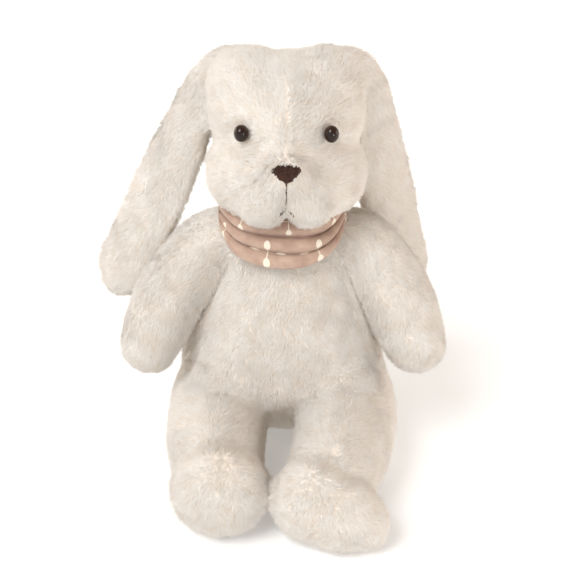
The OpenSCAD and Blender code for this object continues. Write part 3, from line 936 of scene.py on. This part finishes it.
def ear_line(side, steps=72):
    """Points along the middle of one ear, and its angle from straight down, from the CAD root."""
    root = joint_mm(f"ear_{SIDE_NAME[side]}_lift")
    s = np.linspace(0, EAR_LENGTH, steps + 1)
    a = np.radians(EAR_LEAN[side] + (EAR_START - EAR_LEAN[side]) * np.exp(-s / EAR_BEND))
    step = EAR_LENGTH / steps
    x = running_sum(np.sin(a[:-1]) * step) * side
    z = running_sum(-np.cos(a[:-1]) * step)
    y = (EAR_TIP_Y[side] - root[1]) * s / EAR_LENGTH
    x = x - side * (4 + EAR_HUG * np.sin(0.8 * np.pi * s / EAR_LENGTH))
    return root + (0, 0, -5) + np.stack([x, y, z], axis=1), a


def ear_turn(side, u, angle):
    """The turn of the ear's cross-section at fraction u: square to its line, then yawed."""
    yaw = EAR_YAW * min(1, u * EAR_LENGTH / (3 * EAR_BEND))
    along = Matrix.Rotation(-side * angle, 4, "Y")
    return along @ Matrix.Rotation(math.radians(side * yaw), 4, "Z")


def ear_balls(side):
    """Flat balls along the ear, slim at the root and broad near the tip."""
    line, angle = ear_line(side)
    found = []
    for i in range(len(line)):
        u = i / (len(line) - 1)
        broad = 0.66 + 0.34 * math.sin(math.pi / 2 * min(1, u / 0.6)) ** 2
        end = math.sqrt(max(0.0, 1 - max(0, (u - 0.89) / 0.11) ** 2))
        if end < 0.3:
            continue
        radii = (EAR_WIDTH / 2 * broad * end, EAR_THICKNESS / 2 * (0.7 + 0.3 * end), 5)
        turn = ear_turn(side, u, angle[i])
        found.append(Matrix.Translation(line[i]) @ turn @ Matrix.Diagonal((*radii, 1)))
    root = line[0]
    for out, down, r in ((10, 6, 9), (4, 3, 10)):
        found.append(ball((root[0] - side * out, root[1], root[2] - down), (r, r * 0.85, r)))
    return found


def ear_faces(side):
    """The way that the ear's lining faces at each point of its line."""
    line, angle = ear_line(side)
    turns = [ear_turn(side, i / (len(line) - 1), a).to_3x3() for i, a in enumerate(angle)]
    return np.array([turn @ Vector((0, 1, 0)) for turn in turns])


def behind_ear(points, side):
    """How far each point is behind the ear's middle sheet, where the lining is."""
    line, _ = ear_line(side)
    i = nearest_row(points, line)
    return ((points - line[i]) * ear_faces(side)[i]).sum(axis=1)


def ear_skin(side):
    """The bare skin of one ear, filled out between its edge seams."""
    # The second material is the lining's backing, in peach painted shade.
    ear = soft_form(f"ear_{SIDE_NAME[side]}_skin", ear_balls(side), 2.6, 5, [SKIN, LINING_SHADE_SKIN])
    fill_out(ear, lambda points: np.abs(behind_ear(points, side)), 2)
    return ear


def make_ear(side, ear):
    s = SIDE_NAME[side]
    line, _ = ear_line(side)
    faces = ear_faces(side)

    def lining_shade_share(points, normals):
        """1 on the peach lining in painted shade, inside the ear's edge, and 0 on the outer side."""
        i = nearest_row(points, line)
        behind = (normals * faces[i]).sum(axis=1)
        below = np.clip((i / (len(line) - 1) - 0.06) / 0.06, 0, 1)
        return np.clip((behind - 0.45) / 0.2, 0, 1) * below

    middles = millimetres([p.center for p in ear.data.polygons])
    ways = np.array([p.normal for p in ear.data.polygons])
    shade_lined = (lining_shade_share(middles, ways) > 0.5).astype(np.int32)
    ear.data.polygons.foreach_set("material_index", shade_lined)
    bend(ear)
    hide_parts(f"ear_{s}_outer", f"ear_{s}_lining", f"ear_{s}_padding")

    def comb(points, normals):
        return along_line(points, line)[0]

    def outer(points, normals):
        return 1 - lining_shade_share(points, normals)

    coat = fur(f"ear_{s}_fur", ear, comb, PILE, 2.7, 40 + side, WHITE_TONES, keep=outer, lean=54,
               tuft=0.25)
    bend(coat)
    # The lining's short pile, in peach tones that are painted shade.
    pile = fur(f"ear_{s}_lining_shade_pile", ear, comb, 2.6, 2.7, 50 + side, LINING_SHADE_TONES, keep=lining_shade_share)
    bend(pile)


# ---- Torso, neck cloth and tail ----

TORSO_X, TORSO_Y = -3, 4
TORSO_LINE = np.array([[TORSO_X, TORSO_Y, z] for z in np.linspace(0, 180, 30)])
# The belly's fullness between and over the thighs, as (centre, radii)
BELLY_FILL = [((-4, -28, 66), (44, 34, 27)), ((-40, -40, 62), (27, 24, 21)),
              ((34, -40, 62), (27, 24, 21))]

# Rows of (x, y, z, three radii) up the torso
TORSO_ROWS = [(-4, 18, 42, 66, 41, 40), (-4, 3, 58, 69, 54, 36), (-4, -3, 76, 68, 56, 38),
              (-3, -4, 96, 63, 54, 38), (-2, -4, 118, 55, 49, 36), (-1, -3, 142, 46, 42, 34)]


def torso_balls():
    return [
        *[ball(r[:3], r[3:]) for r in smooth_rows(TORSO_ROWS, 6)],
        *twins(0, 26, -5, 156, (24, 25, 20)),
        ball((0, -3, 174), (30, 30, 14)),
        *[ball(*b) for b in BELLY_FILL],
    ]


def torso_seam(points):
    """Distance from the torso's seams: down both sides and down the middle of the back."""
    sides = seam_distance(points, TORSO_LINE, (0, 1, 0))
    back = np.abs(points[:, 0] - TORSO_X)
    return np.where(points[:, 1] > TORSO_Y, np.minimum(sides, back), sides)


def downwards(points, normals):
    """Pile that runs down the toy."""
    return np.tile([0.0, -0.15, -1.0], (len(points), 1))


CLOTH_TOP = 180.0
CLOTH_X = -3.5
# The folded cloth's section: (part of the way down, how far it stands out in millimetres)
CLOTH_FOLDS = [(-0.04, -3.0), (-0.06, 0.2), (-0.02, 2.6), (0.08, 4.3), (0.18, 4.4), (0.29, 2.6),
               (0.35, 0.3), (0.41, 0.0), (0.39, 2.4), (0.45, 4.3), (0.55, 4.4), (0.64, 2.8),
               (0.69, 0.4), (0.745, 0.1), (0.73, 2.5), (0.81, 4.1), (0.92, 3.8), (0.99, 2.8), (1.0, 1.8)]
# The flat height that the folds' parts are measured against, in millimetres
CLOTH_HEIGHT = 26
CLOTH_CORNERS = 128
CLOTH_GAP = 1.6


def cloth_base(t):
    """Of the cloth at angle t round the neck (-90 is the front): its base x and y, its top z and
    its height in millimetres, and 1 at the front falling to 0 at the sides."""
    front = max(0.0, -math.sin(t)) ** 1.4
    x = CLOTH_X + (39 + 2.5 * front) * math.copysign(abs(math.cos(t)) ** 0.88, math.cos(t))
    depth = 41 if math.sin(t) < 0 else 33
    y = -3 + depth * math.copysign(abs(math.sin(t)) ** 0.92, math.sin(t))
    corner = sum(math.exp(-((math.degrees(t) + at) / 22) ** 2) for at in (28, 152))
    top = CLOTH_TOP + 3.5 * front + 4.5 * corner
    height = 11 + 17 * max(0.0, -math.sin(t)) ** 2.2
    return x, y, top, height, front


def lift_off(tree, p, gap):
    """A point moved outwards until it is at least a gap from the skin in a tree."""
    place, normal, _, _ = tree.find_nearest(Vector(p))
    normal = np.array(normal)
    return p + normal * max(0.0, gap - (p - np.array(place)) @ normal)


def add_sheet(bm, uv, grid, place, closed=False):
    """Adds faces over rows of points. place gives the cloth's own place in millimetres from a row
    and a column."""
    rows = len(grid)
    for i in range(rows if closed else rows - 1):
        n = (i + 1) % rows
        for k in range(len(grid[0]) - 1):
            face = bm.faces.new((grid[i][k], grid[i][k + 1], grid[n][k + 1], grid[n][k]))
            for loop, spot in zip(face.loops, ((i, k), (i, k + 1), (i + 1, k + 1), (i + 1, k))):
                loop[uv].uv = place(*spot)


def make_cloth(body_tree):
    """A neck cloth folded in three, deeper at the front, lying on the chest, with its flat length
    and depth."""
    section = smooth_rows(CLOTH_FOLDS, 3)
    lengths = running_sum(np.linalg.norm(np.diff(section * (CLOTH_HEIGHT, 1), axis=0), axis=1))
    turns = [2 * math.pi * j / CLOTH_CORNERS - math.pi for j in range(CLOTH_CORNERS)]
    bases = [cloth_base(t) for t in turns]
    rounds = running_sum([math.dist(a[:2], b[:2]) for a, b in zip(bases, bases[1:] + bases[:1])])
    bm = bmesh.new()
    sheet_uv = bm.loops.layers.uv.new("cloth")
    grid = []
    for t, (x, y, top, height, front) in zip(turns, bases):
        out = unit(np.array([math.cos(t) / 39, math.sin(t) / 36, 0.0]))
        wave = 0.5 * math.sin(5 * t + 0.6) + 0.35 * math.sin(9 * t + 2.1)
        column = []
        for k, (v, stand) in enumerate(section):
            droop = 0.05 * height * math.sin(3.1 * t + 2.2 * v) * (0.2 < v < 0.9)
            slope = 9.0 * front * max(0, v) ** 1.2
            far = stand * (0.75 + 0.35 * front) + slope + wave * (0.3 + v)
            p = np.array([x, y, top - height * v + droop]) + out * far
            if k > 0:
                p = lift_off(body_tree, p, CLOTH_GAP + 0.45 * max(0.0, stand))
            column.append(bm.verts.new(metres(p)))
        grid.append(column)
    add_sheet(bm, sheet_uv, grid, lambda j, k: (rounds[j] + 4, lengths[k] + 9), closed=True)
    bmesh.ops.recalc_face_normals(bm, faces=bm.faces)
    cloth = mesh_object("neck_cloth", bm, [cloth_material()])
    add_smoothing(cloth, 0.35, 2)
    add_thickness(cloth)
    return cloth, float(rounds[-1]), float(lengths[-1])


def make_knot():
    """The knot at the nape: a rippled core, and two short ends that hang from it."""
    low, high = box_mm("bandana_knot")
    centre = (low + high) / 2
    material = cloth_material()
    bm = bmesh.new()
    uv = bm.loops.layers.uv.new("cloth")
    core = ball(centre, (8.5, 5.5, 6.5))
    bmesh.ops.create_icosphere(bm, subdivisions=4, radius=1, matrix=TO_METRES @ core)
    for v in bm.verts:
        off = millimetres(v.co) - centre
        a = math.atan2(off[2], off[0])
        fold = 0.8 * math.sin(5 * a + 0.5 * off[1]) + 0.5 * math.sin(9 * a + 1.0)
        v.co += Vector(unit(off)) * fold * MM
    for face in bm.faces:
        for loop in face.loops:
            off = millimetres(loop.vert.co) - centre
            loop[uv].uv = (off[0] * 1.3 + 6, off[2] * 1.3 + 3)
    for side in (LEFT, RIGHT):
        rows, cols = 13, 9
        grid = []
        for i in range(rows):
            f = i / (rows - 1)
            spread = 3.5 + 7.5 * f
            hang = (side * (5 + 20 * f), 0.5 + 2.5 * math.sin(2.5 * f), 1 - 17 * f**1.3)
            start = centre + np.array(hang)
            cross = unit(np.array([0.55, 0.0, side * 0.9]))
            line = []
            for k in range(cols):
                g = -1 + 2 * k / (cols - 1)
                cut = 7.0 * g * f if f > 0.6 else 0.0
                fold = 1.4 * math.cos(3.4 * g + 1.2 * side) * (0.4 + 0.6 * f)
                line.append(start + cross * spread * g + np.array([side * cut * 0.5, fold, 0.0]))
            grid.append([bm.verts.new(metres(p)) for p in line])
        add_sheet(bm, uv, grid, lambda i, k, shift=side * 11: (i * 2.2, k * 2.4 + shift))
    knot = mesh_object("neck_cloth_knot", bm, [material])
    add_thickness(knot)
    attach(knot, "torso")
    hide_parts("bandana_knot")
    return knot


def pressed_by(tree, full):
    """A pile length that shrinks to fit under the nearest surface of a tree."""

    def length(points, normals):
        reach = 1.6 * full
        gaps = np.array([(tree.find_nearest(Vector(p), reach)[3] or reach) for p in points])
        return np.minimum(full, np.maximum(0.3, 1.2 * (gaps - 0.8)))

    return length


def make_tail():
    low, high = box_mm("tail_cover")
    centre = (low + high) / 2
    r = (high[0] - low[0]) / 2 - 1.5
    balls = [ball(centre, (r, r * 0.95, r)), ball(centre - (0, 12, 0), (10, 9, 10))]
    tail = soft_form("tail_skin", balls, 2.6, 3, [SKIN])
    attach(tail, "torso")
    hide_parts("tail_cover", "tail_stuffing")

    def comb(points, normals):
        return points - centre + np.array([0.0, -3.0, -6.0])

    coat = fur("tail_fur", tail, comb, 9.0, 2.6, 60, WHITE_TONES, lean=38, width=0.55)
    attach(coat, "torso")


def make_torso(torso, cloth_tree):
    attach(torso, "torso")
    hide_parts("torso_front_panel", "torso_back_left_panel", "torso_back_right_panel",
                "torso_stuffing", "seat_pellet_bag")
    length = pressed_by(cloth_tree, PILE)
    for name, sign, seed in (("front", -1, 12), ("back", 1, 18)):

        def half(points, normals, sign=sign):
            return ((points[:, 1] - TORSO_Y) * sign >= 0).astype(float)

        coat = fur(f"torso_{name}_fur", torso, downwards, length, 2.4, seed, WHITE_TONES, keep=half)
        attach(coat, "torso")


# ---- Arms and legs ----

ARM_ROWS = {
    RIGHT: [(-36, -8, 160, 17), (-50, -11, 156, 20.5), (-65, -17, 141, 22), (-80, -25, 121, 22),
            (-89, -31, 101, 20.5), (-93, -35, 91, 18.5)],
    LEFT: [(36, -8, 160, 17), (48, -11, 156, 20), (61, -17, 141, 22), (75, -25, 119, 22.5),
           (82, -31, 100, 21), (86, -35, 92, 19)],
}

LEG_ROWS = {
    RIGHT: [(-45, -14, 41, 34), (-48, -45, 39, 32.5), (-48, -75, 36, 30.5), (-45, -100, 32, 28)],
    LEFT: [(38, -14, 41, 34), (40, -45, 39, 32.5), (35, -80, 36, 31), (28, -108, 32, 28)],
}

FOOT_BALLS = {
    RIGHT: [ball((-43, -122, 31), (31, 25, 29)), ball((-42, -126, 38), (25, 20, 24))],
    LEFT: [ball((16, -130, 29), (26, 24, 27)), ball((33, -139, 24), (26, 20, 23)),
           ball((48, -141, 19), (15, 14, 17))],
}


def arm_comb(rows):
    """Pile that runs down an arm."""
    line = smooth_rows(rows)[:, :3]
    return lambda points, normals: along_line(points, line)[0] + np.array([0, 0, -0.15])


def leg_comb(points, normals):
    """Pile that runs down the sides and the sole of a leg."""
    return np.tile([0.0, 0.35, -1.0], (len(points), 1))


def make_limb(name, balls, rows, across, seed, panels, comb):
    """An arm or a leg: its skin, seamed where its two panels meet, and a function that adds its
    coat."""
    line = smooth_rows(rows)[:, :3]

    def seam(points):
        return seam_distance(points, line, across)

    skin = soft_form(f"{name}_skin", balls, 3.4, 6, [SKIN])
    fill_out(skin, seam, 3)

    def coat():
        bend(skin)
        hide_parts(*(f"{name}_{panel}_panel" for panel in panels), f"{name}_stuffing")
        hair = fur(f"{name}_fur", skin, comb, PILE, 2.4, seed, WHITE_TONES)
        bend(hair)

    return skin, coat


def set_floor(skin, height=1.2):
    """Flattens a skin where it rests on the floor."""
    points, _ = points_of(skin)
    points[:, 2] = np.maximum(points[:, 2], height)
    set_points(skin, points)


# How deep under the melted forms a skin is still drawn out to them
EAR_REACH, LEG_REACH, ARM_REACH = 7.0, 13.0, 6.0


def build():
    add_camera()
    add_studio()
    ears = {side: ear_skin(side) for side in (LEFT, RIGHT)}
    make_head(list(ears.values()))
    for side in (LEFT, RIGHT):
        make_ear(side, ears[side])
    torso = soft_form("torso_skin", torso_balls(), 4.0, 12, [SKIN])
    fill_out(torso, torso_seam, 3)
    arms, legs, coats = [], [], []
    arm_forms, leg_forms = torso_balls(), torso_balls()
    for side in (LEFT, RIGHT):
        rows = ARM_ROWS[side]
        balls = chain(rows)
        arm, arm_coat = make_limb(f"arm_{SIDE_NAME[side]}", balls, rows, (0, 1, 0), 20 + side,
                                  ("front", "back"), arm_comb(rows))
        arm_forms += balls
        rows = LEG_ROWS[side]
        balls = chain(rows) + FOOT_BALLS[side]
        leg, leg_coat = make_limb(f"leg_{SIDE_NAME[side]}", balls, rows, (1, 0, 0), 30 + side,
                                  ("outer", "inner"), leg_comb)
        leg_forms += balls
        arms.append(arm)
        legs.append(leg)
        coats += [arm_coat, leg_coat]
    soften_joins([torso, *legs], leg_forms, LEG_REACH, 14)
    soften_joins([torso, *arms], arm_forms, ARM_REACH, 6)
    for skin in (torso, *arms, *legs):
        set_floor(skin)
    cloth, long, deep = make_cloth(skin_tree(torso, *arms))
    cloth_tree = skin_tree(cloth)
    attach(cloth, "torso")
    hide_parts("bandana")
    knot = make_knot()
    make_torso(torso, cloth_tree)
    for coat in coats:
        coat()
    make_tail()


build()
